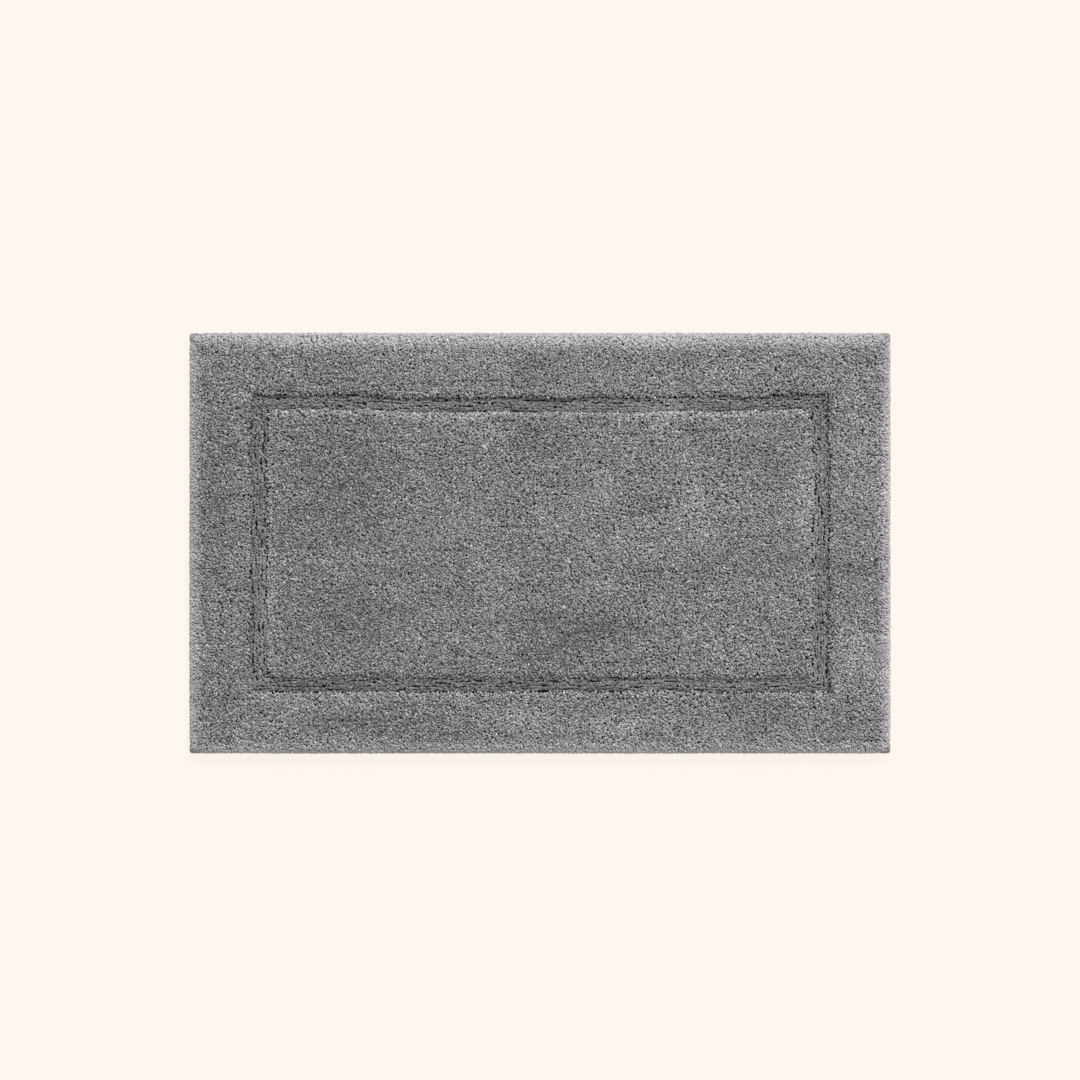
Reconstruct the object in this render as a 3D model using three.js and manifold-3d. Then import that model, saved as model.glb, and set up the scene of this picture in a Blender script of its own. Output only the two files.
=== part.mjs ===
// A tufted cotton bath mat: cut pile with a low channel round it, on a cloth that is hemmed and latex coated.
// Millimetres. X runs along the mat, Y across it, +Z is up, and the mat lies on z = 0.
import * as THREE from "three";
import { mergeVertices } from "three/addons/utils/BufferGeometryUtils.js";
import Module from "manifold-3d";

const wasm = await Module();
wasm.setup();

// Driving dimensions
const matLength = 1000;
const matWidth = 600;
const matThickness = 22;
const seamGap = 0.3; // between two pieces that touch

const tapeThickness = 1.5; // the latex coat is as thick, so both lie on the floor
const tapeInset = 2;
const tapeWidth = 28;
const tapeEnd = tapeInset + tapeWidth;

const threadWidth = 0.7;
const threadHeight = 0.45;
const threadLift = 0.25; // keeps the thread off the floor
const threadMargin = 4; // from the tape's edge to the middle of the thread
const threadSlotDepth = threadLift + threadHeight + seamGap;

const labelLength = 70;
const labelWidth = 34;
const labelThickness = 0.35;
const labelX = -360;
const labelSlotDepth = threadLift + labelThickness + seamGap;

const clothInset = 3;
const clothThickness = 0.9;
const clothBottom = tapeThickness + seamGap;
const cornerRadius = 5;

const pileBottom = clothBottom + clothThickness + seamGap;
const channelTop = 16.5;
const channelInset = 88;
const channelWidth = 22;
const channelEnd = channelInset + channelWidth;
const centreCornerRadius = 7;
const centreShoulder = 2.5;

const footInset = 3; // how far the border pile's foot stands in from its widest line
const bulgeBottom = 9;
const bulgeTop = 13;
const outerShoulder = 7;
const innerShoulder = 2.5;

const foldLeg = 14; // along each edge from the corner
const foldTop = 12;
const foldRounding = 1.5;

// Materials
const fabric = (colour, roughness) => new THREE.MeshStandardMaterial({ color: colour, roughness, metalness: 0 });
const materials = {
  pile: fabric(0x7c7a7d, 0.95),
  channelPile: fabric(0x6b696a, 0.95),
  cloth: fabric(0x8a8885, 0.9),
  tape: fabric(0x7f7d7e, 0.85),
  thread: fabric(0x929092, 0.7),
  latex: fabric(0xd8d2c4, 0.6),
  label: fabric(0xefedea, 0.7),
};

const mat = new THREE.Group();

function addPiece(name, geometry, material) {
  const piece = new THREE.Mesh(geometry, material);
  piece.name = name;
  mat.add(piece);
  return piece;
}

// Cutting and joining
function solidFrom(geometry) {
  const bare = geometry.clone();
  bare.deleteAttribute("normal");
  bare.deleteAttribute("uv");
  const merged = mergeVertices(bare, 1e-3);
  const mesh = new wasm.Mesh({
    numProp: 3,
    vertProperties: merged.attributes.position.array,
    triVerts: new Uint32Array(merged.index.array),
  });
  return new wasm.Manifold(mesh);
}

function geometryFrom(solid) {
  const mesh = solid.getMesh();
  const geometry = new THREE.BufferGeometry();
  geometry.setAttribute("position", new THREE.BufferAttribute(mesh.vertProperties, 3));
  geometry.setIndex(new THREE.BufferAttribute(mesh.triVerts, 1));
  const faceted = geometry.toNonIndexed();
  faceted.computeVertexNormals();
  return faceted;
}

// Plan shapes
function polygon(points) {
  return new THREE.Shape(points.map(([x, y]) => new THREE.Vector2(x, y)));
}

function rectangle(length, width) {
  const x = length / 2;
  const y = width / 2;
  return polygon([[-x, -y], [x, -y], [x, y], [-x, y]]);
}

function roundedRectangle(length, width, radius) {
  const x = length / 2 - radius;
  const y = width / 2 - radius;
  const shape = new THREE.Shape();
  shape.absarc(x, y, radius, 0, Math.PI / 2);
  shape.absarc(-x, y, radius, Math.PI / 2, Math.PI);
  shape.absarc(-x, -y, radius, Math.PI, Math.PI * 1.5);
  shape.absarc(x, -y, radius, Math.PI * 1.5, Math.PI * 2);
  return shape;
}

function slab(shape, bottom, top, rounding = 0) {
  const geometry = new THREE.ExtrudeGeometry(shape, {
    depth: top - bottom - 2 * rounding,
    bevelEnabled: rounding > 0,
    bevelThickness: rounding,
    bevelSize: rounding,
    bevelOffset: -rounding,
    bevelSegments: 3,
    curveSegments: 6,
  });
  return geometry.translate(0, 0, bottom + rounding);
}

// The four sides. Each strip is made as the front one and turned into place.
const sides = [
  { name: "front", turn: 0, halfRun: matLength / 2, halfDepth: matWidth / 2 },
  { name: "right", turn: 1, halfRun: matWidth / 2, halfDepth: matLength / 2 },
  { name: "back", turn: 2, halfRun: matLength / 2, halfDepth: matWidth / 2 },
  { name: "left", turn: 3, halfRun: matWidth / 2, halfDepth: matLength / 2 },
];

// A section drawn as (distance in from the edge, height) and run along the side.
function sweptSection(section, side) {
  const geometry = new THREE.ExtrudeGeometry(section, {
    depth: 2 * side.halfRun,
    bevelEnabled: false,
    curveSegments: 5,
  });
  const alongX = new THREE.Matrix4().makeBasis(
    new THREE.Vector3(0, 1, 0),
    new THREE.Vector3(0, 0, 1),
    new THREE.Vector3(1, 0, 0),
  );
  return geometry.applyMatrix4(alongX).translate(-side.halfRun, -side.halfDepth, 0);
}

// The strip's plan: mitred at both ends, with its outer tips cut off by cornerCut.
function mitredPlan(start, end, side, cornerCut = 0) {
  const seam = seamGap / Math.SQRT2;
  const tip = Math.max(start, cornerCut / 2);
  const outer = Math.max(start + seam, cornerCut);
  const half = [
    [side.halfRun - outer, start - side.halfDepth],
    [side.halfRun - tip - seam, tip - side.halfDepth],
    [side.halfRun - end - seam, end - side.halfDepth],
  ];
  const mirrored = half.map(([x, y]) => [-x, y]).reverse();
  const points = cornerCut > 0 ? [...half, ...mirrored] : [half[0], half[2], mirrored[0], mirrored[2]];
  return polygon(points);
}

function addStrips(name, section, start, end, material, cornerCut) {
  for (const side of sides) {
    const plan = slab(mitredPlan(start, end, side, cornerCut), -1, matThickness + 1);
    const strip = solidFrom(sweptSection(section, side)).intersect(solidFrom(plan));
    const piece = addPiece(`${name}_${side.name}`, geometryFrom(strip), material);
    piece.rotation.z = (side.turn * Math.PI) / 2;
  }
}

// Hem tape, with a slot on its underside for each row of stitching
function addHemTape() {
  const section = new THREE.Shape();
  section.moveTo(tapeInset, 0);
  for (const middle of [tapeInset + threadMargin, tapeEnd - threadMargin]) {
    const half = threadWidth / 2 + seamGap;
    section.lineTo(middle - half, 0);
    section.lineTo(middle - half, threadSlotDepth);
    section.lineTo(middle + half, threadSlotDepth);
    section.lineTo(middle + half, 0);
  }
  section.lineTo(tapeEnd, 0);
  section.lineTo(tapeEnd, tapeThickness);
  section.lineTo(tapeInset, tapeThickness);
  section.closePath();
  addStrips("hem_tape", section, tapeInset, tapeEnd, materials.tape);
}

// One thread that runs right round the hem
function addHemThread(name, middle) {
  const outer = middle - threadWidth / 2;
  const inner = middle + threadWidth / 2;
  const ring = rectangle(matLength - 2 * outer, matWidth - 2 * outer);
  ring.holes.push(rectangle(matLength - 2 * inner, matWidth - 2 * inner));
  addPiece(name, slab(ring, threadLift, threadLift + threadHeight), materials.thread);
}

// Latex coat inside the hem, with a shallow place for the label at its back edge
function addLatexCoatAndLabel() {
  const inset = tapeEnd + seamGap;
  const coat = slab(rectangle(matLength - 2 * inset, matWidth - 2 * inset), 0, tapeThickness);
  const labelY = matWidth / 2 - inset - labelWidth / 2;
  const slot = slab(rectangle(labelLength + 2 * seamGap, labelWidth + 2 * seamGap), -1, labelSlotDepth);
  slot.translate(labelX, labelY, 0);
  addPiece("latex_coat", geometryFrom(solidFrom(coat).subtract(solidFrom(slot))), materials.latex);

  const label = slab(rectangle(labelLength, labelWidth), threadLift, threadLift + labelThickness);
  label.translate(labelX, labelY, 0);
  addPiece("care_label", label, materials.label);
}

function addBackingCloth() {
  const outline = roundedRectangle(matLength - 2 * clothInset, matWidth - 2 * clothInset, cornerRadius);
  addPiece("backing_cloth", slab(outline, clothBottom, clothBottom + clothThickness), materials.cloth);
}

// The border pile bulges out over the cloth's edge and rounds off to its top.
function addBorderPile() {
  const end = channelInset - seamGap;
  const section = new THREE.Shape();
  section.moveTo(footInset, pileBottom);
  section.lineTo(end, pileBottom);
  section.lineTo(end, matThickness - innerShoulder);
  section.quadraticCurveTo(end, matThickness, end - innerShoulder, matThickness);
  section.lineTo(outerShoulder, matThickness);
  section.quadraticCurveTo(0, matThickness, 0, bulgeTop);
  section.lineTo(0, bulgeBottom);
  section.closePath();
  const cornerCut = foldLeg + seamGap * Math.SQRT2;
  addStrips("border_pile", section, 0, end, materials.pile, cornerCut);
}

function addChannelPile() {
  const section = new THREE.Shape();
  section.moveTo(channelInset, pileBottom);
  section.lineTo(channelEnd - seamGap, pileBottom);
  section.lineTo(channelEnd - seamGap, channelTop);
  section.lineTo(channelInset, channelTop);
  section.closePath();
  addStrips("channel_pile", section, channelInset, channelEnd - seamGap, materials.channelPile);
}

function addCentrePile() {
  const length = matLength - 2 * channelEnd;
  const width = matWidth - 2 * channelEnd;
  const outline = roundedRectangle(length, width, centreCornerRadius);
  addPiece("centre_pile", slab(outline, pileBottom, matThickness, centreShoulder), materials.pile);
}

// The hem's cloth is folded over at each corner and shows past the pile.
function addCornerFolds() {
  const outline = new THREE.Shape();
  outline.moveTo(cornerRadius, 0);
  outline.lineTo(foldLeg, 0);
  outline.lineTo(0, foldLeg);
  outline.lineTo(0, cornerRadius);
  outline.quadraticCurveTo(0, 0, cornerRadius, 0);
  const corners = [
    { name: "front_left", x: -1, y: -1, turn: 0 },
    { name: "front_right", x: 1, y: -1, turn: 1 },
    { name: "back_right", x: 1, y: 1, turn: 2 },
    { name: "back_left", x: -1, y: 1, turn: 3 },
  ];
  for (const corner of corners) {
    const fold = slab(outline, pileBottom, foldTop, foldRounding);
    const piece = addPiece(`corner_fold_${corner.name}`, fold, materials.tape);
    piece.position.set((corner.x * matLength) / 2, (corner.y * matWidth) / 2, 0);
    piece.rotation.z = (corner.turn * Math.PI) / 2;
  }
}

addLatexCoatAndLabel();
addHemTape();
addHemThread("outer_hem_thread", tapeInset + threadMargin);
addHemThread("inner_hem_thread", tapeEnd - threadMargin);
addBackingCloth();
addCornerFolds();
addBorderPile();
addChannelPile();
addCentrePile();

export default mat;
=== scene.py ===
"""A tufted cotton bath mat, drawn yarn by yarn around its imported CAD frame. Metres, +Z up."""
import math
from collections import namedtuple
from functools import partial

import bpy
import numpy as np
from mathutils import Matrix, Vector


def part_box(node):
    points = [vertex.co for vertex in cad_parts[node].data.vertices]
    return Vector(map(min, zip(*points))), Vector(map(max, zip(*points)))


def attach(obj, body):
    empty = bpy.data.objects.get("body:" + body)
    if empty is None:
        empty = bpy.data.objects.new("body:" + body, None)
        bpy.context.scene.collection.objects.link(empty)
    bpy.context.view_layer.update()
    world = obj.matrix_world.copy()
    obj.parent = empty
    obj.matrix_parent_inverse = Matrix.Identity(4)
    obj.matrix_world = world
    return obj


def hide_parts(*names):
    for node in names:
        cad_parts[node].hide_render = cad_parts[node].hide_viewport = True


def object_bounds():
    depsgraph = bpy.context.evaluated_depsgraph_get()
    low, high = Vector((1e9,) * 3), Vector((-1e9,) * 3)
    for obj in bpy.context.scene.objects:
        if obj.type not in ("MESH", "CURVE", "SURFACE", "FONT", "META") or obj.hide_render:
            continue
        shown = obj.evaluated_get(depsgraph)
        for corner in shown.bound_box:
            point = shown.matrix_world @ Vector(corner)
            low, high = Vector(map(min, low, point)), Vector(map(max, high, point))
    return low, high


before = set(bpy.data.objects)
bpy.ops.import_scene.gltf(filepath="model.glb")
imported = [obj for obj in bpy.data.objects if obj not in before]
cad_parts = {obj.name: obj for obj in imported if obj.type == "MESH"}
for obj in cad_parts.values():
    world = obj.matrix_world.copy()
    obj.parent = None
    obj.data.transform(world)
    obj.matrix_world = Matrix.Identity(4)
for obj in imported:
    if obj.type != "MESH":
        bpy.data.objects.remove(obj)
cad_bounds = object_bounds()

MM = 0.001
SIDES = ("front", "right", "back", "left")
CORNERS = {"front_left": (-1, -1), "front_right": (1, -1), "back_right": (1, 1), "back_left": (-1, 1)}

# What the frame gives
HALF_LENGTH, HALF_WIDTH = cad_bounds[1][0], cad_bounds[1][1]
PILE_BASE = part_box("centre_pile")[0][2]
PILE_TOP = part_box("centre_pile")[1][2]
CHANNEL_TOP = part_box("channel_pile_front")[1][2]
CHANNEL_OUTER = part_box("channel_pile_front")[0][1] + HALF_WIDTH
CHANNEL_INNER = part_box("centre_pile")[0][1] + HALF_WIDTH
TAPE_OUTER = HALF_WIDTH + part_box("hem_tape_front")[0][1]
TAPE_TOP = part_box("hem_tape_front")[1][2]
COAT_LOW, COAT_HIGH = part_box("latex_coat")
CLOTH_LOW, CLOTH_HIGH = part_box("backing_cloth")
FOLD_LEG = HALF_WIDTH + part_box("corner_fold_front_left")[1][1]
FOLD_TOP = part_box("corner_fold_front_left")[1][2]

# Tufting: rows of stitches along the mat, two cut yarn ends to a stitch, and two plies to a yarn
STITCH_PITCH = 4.7 * MM
ROW_PITCH = 4.3 * MM
END_SHARES = (0.25, 0.75)
END_JITTER = 0.35 * MM
PLY_GAP = 1.7 * MM
PLY_SIDES = 5
MOST_TRIANGLES = 190_000

# The outermost yarn ends stand in straight lines: how far in the lines are and where the rows begin,
# and how far apart the ends stand, stray and turn
EDGE_INSETS = (2.8 * MM, 4.6 * MM, 6.5 * MM)
EDGE_END = 7.6 * MM
EDGE_STEP, EDGE_JITTER, EDGE_TURN = 2.9 * MM, 0.15 * MM, 0.3

# How the pile rolls over the mat's edge, by how far in a ply's root is: how far its tip leans out,
# and how far the tip is below the top
EDGE_ROOT = np.array((0.0, 2.8, 4.6, 6.5, 9.0, 12.0, 16.0, 20.0)) * MM
EDGE_LEAN = np.array((1.3, 1.6, 2.5, 2.8, 2.3, 1.4, 0.5, 0.0)) * MM
EDGE_DROP = np.array((13.0, 10.5, 6.6, 4.0, 2.0, 0.9, 0.2, 0.0)) * MM

# The low pile round the centre: its rows and yarn ends, how far the rows wander, how far the tall
# pile stands back from it, and the rounding of the centre's corners
CHANNEL_ROWS = 3
CHANNEL_STEP, CHANNEL_JITTER, CHANNEL_TURN = 3.2 * MM, 0.5 * MM, 0.7
CHANNEL_WANDER, CHANNEL_WAVE = 1.5 * MM, 15 * MM
BORDER_SLACK = 1.0 * MM
CENTRE_SLACK = np.array((2.4, -0.4)) * MM
CENTRE_CORNER = 9 * MM

# How the hand-guided shears left a true rectangle: a slow drift, a tremble, and a bow along the back
SLOW_DRIFT, SLOW_LENGTHS = 1.3 * MM, (70 * MM, 45 * MM)
TREMBLE, TREMBLE_LENGTH = 0.9 * MM, 13 * MM
BACK_BOW, BOW_STARTS, BOW_ENDS = 5.0 * MM, (-330 * MM, -130 * MM), (420 * MM, 120 * MM)

# The heights of the tips: room under the CAD's top, the spread of yarn ends and of plies, wide and
# small waves, the spread at the trimmed edge, and what partings and the channel's shoulders take off
TIP_ROOM = 0.3 * MM
END_HEIGHT, PLY_HEIGHT = 0.45 * MM, 0.25 * MM
WIDE_HEIGHT, WIDE_WAVE = 0.35 * MM, 30 * MM
SMALL_HEIGHT, SMALL_WAVE = 0.20 * MM, 4.5 * MM
TRIMMED_HEIGHT = 0.8 * MM
PARTING_DROP = 1.1 * MM
SHOULDER_DROP, SHOULDER_REACH = 3.4 * MM, 8 * MM
# and in the channel, the shears' ridges and the dip beside the border
RIDGE_HEIGHT, RIDGE_LENGTH, RIDGE_WIDTH = 0.8 * MM, 55 * MM, 5 * MM
DIP_DEPTH, DIP_REACH = 1.0 * MM, 4 * MM

# The lean of the tips: in wide and small patches, brush marks and partings, by yarn end and by ply,
# off the channel's walls and over the corner folds
WIDE_LEAN, WIDE_PATCHES = 1.0 * MM, ((45 * MM, 45 * MM), (60 * MM, 40 * MM))
SMALL_LEAN, SMALL_PATCH = 0.3 * MM, 9 * MM
BRUSHED_LEAN, PARTED_LEAN = 1.8 * MM, 1.2 * MM
END_LEAN, PLY_LEAN = 1.1 * MM, 0.8 * MM
WALL_LEAN, WALL_REACH = 1.0 * MM, 8 * MM
HANG_LEAN, HANG_REACH = 1.4 * MM, 6 * MM
# The short pile's share of the lean, and of the tones' spread
SHORT_PILE_SHARE = 0.7

# Tones, 0 to 1 from dark to pale: of plain pile, the spread of yarn ends and of plies, and what is added: a
# painted sheen by brush marks, painted shade in partings, painted light growing along the mat's length to
# the right, random long patches, and painted shade in the creases by the folds
PLAIN_TONE = 0.44
END_TONE, PLY_TONE = 0.10, 0.31
BRUSHED_SHEEN, PARTED_SHADE, LENGTH_PAINTED_LIGHT = 0.26, -0.12, 0.05
PATCH_TONE, PATCH_LENGTH, PATCH_WIDTH = 0.10, 70 * MM, 18 * MM
CREASE_SHADE, CREASE_REACH = -0.4, 3 * MM

# The pile's flanks are seen along their fibres and are painted paler for the light that catches them there,
# a painted sheen: how far in from the edge, and that sheen
FLANK_INSET = np.array((0.0, 6.0, 11.0, 16.0, 22.0, 30.0)) * MM
FLANK_PAINTED_SHEEN = np.array((0.12, 0.40, 0.52, 0.42, 0.18, 0.0))
# Each flank's share of that painted sheen, which differs as the light falls on each side, how many times
# narrower it is, and its edge's own painted light (+) or painted shade (-) and reach
FLANK_PAINTED_LIGHT_BY_SIDE = {
    "front": (0.78, 1.4, 0.60, 7 * MM),
    "back": (0.90, 1.0, -0.22, 9 * MM),
    "left": (0.90, 1.4, 0.40, 8 * MM),
    "right": (0.80, 1.4, 0.08, 8 * MM),
}
# How much less tones vary there, how much wider its plies are, and how wide the channel's are
FLANK_CALM, FLANK_SWELL, CHANNEL_SWELL = 1.2, 0.60, 1.20
# How much painted shade a ply's depth gives it, for the shade deep among the yarns: in the channel, at the
# mat's edge, and how far in that shows
CHANNEL_SHELTER, EDGE_SHELTER, SHELTER_REACH = 0.4, 0.25, 12 * MM

# The channel's painted light and shade on each side of the mat, lit from the back: on the walls of the
# centre and of the border, paler where they face the light; on the low pile between them, darker as painted
# shade in the channel; and what it gains beside each wall, painted light to lift a wall's shadow or painted
# shade for a dark line
CHANNEL_PAINTED_LIGHT_AND_SHADE = {
    "front": (-0.02, 0.22, -0.32, 0.48, -0.15),
    "back": (0.38, -0.14, -0.22, -0.32, 0.25),
    "left": (0.18, 0.04, -0.22, 0.08, -0.10),
    "right": (0.18, 0.04, -0.22, 0.08, -0.10),
}
CENTRE_WALL_REACH, BORDER_WALL_REACH = 12 * MM, 9 * MM
BY_CENTRE_REACH, BY_BORDER_REACH = 8 * MM, 5 * MM

# Where hands and the packing have brushed the pile: centre x, y and half sizes in mm, and how far the tips
# lean back towards the light (+) or forward out of it (-). The pile is also painted paler where it leans to
# the light and darker where it leans out of it, a painted sheen.
BRUSH_MARKS = (
    (-276, 88, 55, 75, -1.0),
    (-272, -103, 50, 45, -1.0),
    (-15, 250, 24, 24, -1.3),
    (0, 262, 430, 36, 0.50),
    (-272, 253, 20, 15, -1.0),
    (37, -132, 75, 42, -1.0),
    (-10, 150, 32, 28, -0.8),
    (331, 100, 30, 32, -0.8),
    (154, -118, 34, 15, -0.8),
    (-456, 74, 30, 90, -0.6),
    (-220, -250, 70, 24, -0.8),
    (323, -250, 42, 24, -0.9),
    (150, 258, 60, 14, -0.5),
    (-390, -100, 15, 95, 0.9),
    (176, 184, 24, 36, 1.0),
    (220, 60, 28, 50, 0.9),
    (382, 60, 20, 80, 0.9),
    (88, 74, 22, 22, 0.8),
    (-81, 20, 30, 60, 0.5),
    (-30, -250, 36, 20, 0.9),
    (118, -262, 44, 20, 1.2),
    (-353, -243, 20, 22, 0.9),
    (455, 150, 32, 70, 0.8),
    (448, -150, 30, 60, 0.6),
)

# Noise reaches over this many half lengths and widths. At a size of EVEN it hardly changes.
NOISE_SPAN = 2.2
EVEN = 1.0

# Of each ply: its root, its tip's height and lean, how wide it is, how pale it is with its painted light and
# shade, and how much painted shade its depth gives it
Plies = namedtuple("Plies", "x y top lean_x lean_y swell tone shelter")

rng = np.random.default_rng(20260)


# ------------ helpers

def soft_noise(x, y, size_x, size_y, seed):
    """Smooth noise from about -1 to 1, with features about size_x by size_y metres."""
    draw = np.random.default_rng(seed)
    cells_x = int(math.ceil(NOISE_SPAN * HALF_LENGTH / size_x)) + 4
    cells_y = int(math.ceil(NOISE_SPAN * HALF_WIDTH / size_y)) + 4
    values = draw.standard_normal((cells_x, cells_y))
    u = (x + 0.5 * NOISE_SPAN * HALF_LENGTH) / size_x + 1
    v = (y + 0.5 * NOISE_SPAN * HALF_WIDTH) / size_y + 1
    i = np.clip(np.floor(u).astype(int), 0, cells_x - 2)
    j = np.clip(np.floor(v).astype(int), 0, cells_y - 2)
    s = smooth(u - i)
    t = smooth(v - j)
    low = values[i, j] * (1 - s) + values[i + 1, j] * s
    high = values[i, j + 1] * (1 - s) + values[i + 1, j + 1] * s
    return 0.6 * (low * (1 - t) + high * t)


def smooth(t):
    t = np.clip(t, 0, 1)
    return t * t * (3 - 2 * t)


def fade(value, start, end):
    """0 at the start, 1 at the end, and smooth between them. The start may be above the end."""
    return smooth((value - start) / (end - start))


def near(distance, reach):
    """1 at no distance, falling evenly to 0 at the reach."""
    return np.clip(1 - distance / reach, 0, 1)


def span(low, high, step):
    """Evenly spaced values from low to high, at most a step apart."""
    return np.linspace(low, high, int(math.ceil((high - low) / step)) + 1)


def circle(sides):
    """The angles of a ring's vertices."""
    return np.arange(sides) * 2 * math.pi / sides


def grid_over(low, high, step_x, step_y):
    """The x and y of a grid of points over a box, at most those steps apart."""
    return np.meshgrid(span(low[0], high[0], step_x), span(low[1], high[1], step_y), indexing="ij")


def add_object(name, data):
    item = bpy.data.objects.new(name, data)
    bpy.context.scene.collection.objects.link(item)
    return item


def new_mesh(name, vertices, triangles):
    """A smooth triangle mesh from two arrays."""
    mesh = bpy.data.meshes.new(name)
    mesh.vertices.add(len(vertices))
    mesh.vertices.foreach_set("co", np.ascontiguousarray(vertices, dtype=np.float32).ravel())
    mesh.loops.add(3 * len(triangles))
    mesh.loops.foreach_set("vertex_index", np.ascontiguousarray(triangles, dtype=np.int32).ravel())
    mesh.polygons.add(len(triangles))
    mesh.polygons.foreach_set("loop_start", np.arange(0, 3 * len(triangles), 3, dtype=np.int32))
    mesh.update(calc_edges=True)
    mesh.validate()
    mesh.polygons.foreach_set("use_smooth", np.ones(len(mesh.polygons), dtype=bool))
    return add_object(name, mesh)


def point_values(piece, name, values, kind="FLOAT"):
    """Stores one number, or one vector, for each vertex."""
    layer = piece.data.attributes.new(name, kind, "POINT")
    channel = "vector" if kind == "FLOAT_VECTOR" else "value"
    layer.data.foreach_set(channel, np.ascontiguousarray(values, dtype=np.float32).ravel())


def finish_piece(piece, material, slot, *replaced):
    """Gives the piece its material, puts it under the root body and hides the CAD nodes that it stands for.
    The slot is not used.
    """
    piece.data.materials.append(material)
    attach(piece, "root")
    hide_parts(*replaced)


def grid_faces(index):
    """Two upward triangles for each cell of a grid of vertices, whose rows run along x."""
    a, b, c, d = (part.ravel() for part in (index[:-1, :-1], index[1:, :-1], index[1:, 1:], index[:-1, 1:]))
    return np.concatenate([np.stack([a, b, c], 1), np.stack([a, c, d], 1)])


def rim_of(index):
    """The outer vertices of a grid, anticlockwise from above."""
    return np.concatenate([index[:-1, 0], index[-1, :-1], index[:0:-1, -1], index[0, :0:-1]])


def wall_faces(low, high):
    """The outward triangles of a wall between two closed lines of vertices."""
    next_low, next_high = np.roll(low, -1), np.roll(high, -1)
    return np.concatenate([np.stack([low, next_low, next_high], 1), np.stack([low, next_high, high], 1)])


def ring_faces(rings, sides, first=0, upward=False):
    """Triangles that join each ring of vertices to the next. They are wound the other way if it is above."""
    faces = []
    for ring in range(rings - 1):
        for k in range(sides):
            a, b = first + ring * sides + k, first + ring * sides + (k + 1) % sides
            if upward:
                a, b = b, a
            faces += [(a, a + sides, b), (b, a + sides, b + sides)]
    return faces


def dome_faces(rings, sides):
    """Triangles from a middle vertex out over rings of vertices."""
    return [(0, 1 + k, 1 + (k + 1) % sides) for k in range(sides)] + ring_faces(rings, sides, first=1)


# ------------ where the pile's yarns stand

def inset_of(x, y):
    """How far a point is in from the mat's side edges, from its long edges, and from the nearest."""
    to_x = HALF_LENGTH - np.abs(x)
    to_y = HALF_WIDTH - np.abs(y)
    return to_x, to_y, np.minimum(to_x, to_y)


def by_side(x, y):
    """For each side of the mat, how far points are in from it and which of them are nearest to it."""
    to_x, to_y, _ = inset_of(x, y)
    long_side = to_y <= to_x
    return {
        "front": (HALF_WIDTH + y, long_side & (y < 0)),
        "back": (HALF_WIDTH - y, long_side & (y > 0)),
        "left": (HALF_LENGTH + x, ~long_side & (x < 0)),
        "right": (HALF_LENGTH - x, ~long_side & (x > 0)),
    }


def from_fold(to_x, to_y):
    """How far a point is in from the diagonal edge of the nearest corner fold."""
    return (to_x + to_y - FOLD_LEG) / math.sqrt(2)


def channel_shift(x, y):
    """How far the hand-guided shears wandered from a true rectangle."""
    along, across = SLOW_LENGTHS
    shift_x = SLOW_DRIFT * soft_noise(x, y, along, across, seed=3)
    shift_y = SLOW_DRIFT * soft_noise(x, y, across, along, seed=4)
    shift_x = shift_x + TREMBLE * soft_noise(x, y, TREMBLE_LENGTH, TREMBLE_LENGTH, seed=5)
    shift_y = shift_y + TREMBLE * soft_noise(x, y, TREMBLE_LENGTH, TREMBLE_LENGTH, seed=6)
    bow = fade(x, *BOW_STARTS) * fade(x, *BOW_ENDS)
    shift_y = shift_y - BACK_BOW * bow * fade(y, 100 * MM, 150 * MM)
    return shift_x, shift_y


def shears_place(x, y):
    """Where a point would be if the shears had followed a true rectangle."""
    shift_x, shift_y = channel_shift(x, y)
    return x - shift_x, y - shift_y


def in_channel(x, y):
    """True where the shears cut the pile short. The centre's corners are rounded."""
    px, py = shears_place(x, y)
    _, _, inset = inset_of(px, py)
    inner_x, inner_y = CHANNEL_INNER + CENTRE_SLACK
    corner_x = np.clip(np.abs(px) - (HALF_LENGTH - inner_x - CENTRE_CORNER), 0, None)
    corner_y = np.clip(np.abs(py) - (HALF_WIDTH - inner_y - CENTRE_CORNER), 0, None)
    outside_centre = np.hypot(corner_x, corner_y) > CENTRE_CORNER
    return (inset > CHANNEL_OUTER - BORDER_SLACK) & outside_centre


def two_plies(x, y, turn):
    """The two plies of each yarn end, side by side and turned that way. They follow each other."""
    away_x, away_y = 0.5 * PLY_GAP * np.cos(turn), 0.5 * PLY_GAP * np.sin(turn)
    return np.stack([x - away_x, x + away_x], 1).ravel(), np.stack([y - away_y, y + away_y], 1).ravel()


def stitch_grid():
    """Roots of the tall pile's plies inside its edge. A stitch's two yarn ends stand half a row apart."""
    half_x, half_y = HALF_LENGTH - EDGE_END, HALF_WIDTH - EDGE_END
    stitches, rows = round(2 * half_x / STITCH_PITCH), round(2 * half_y / ROW_PITCH)
    stitch_x, pitch_x = np.linspace(-half_x, half_x, stitches, False, True)
    row_y, pitch_y = np.linspace(-half_y, half_y, rows, False, True)
    x, y = (values.ravel() for values in np.meshgrid(stitch_x, row_y, indexing="ij"))
    x = np.concatenate([x + share * pitch_x for share in END_SHARES])
    y = np.concatenate([y + share * pitch_y for share in END_SHARES])
    x = x + rng.normal(0, END_JITTER, x.size)
    y = y + rng.normal(0, END_JITTER, y.size)
    return two_plies(x, y, rng.uniform(0, math.pi, x.size))


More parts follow.
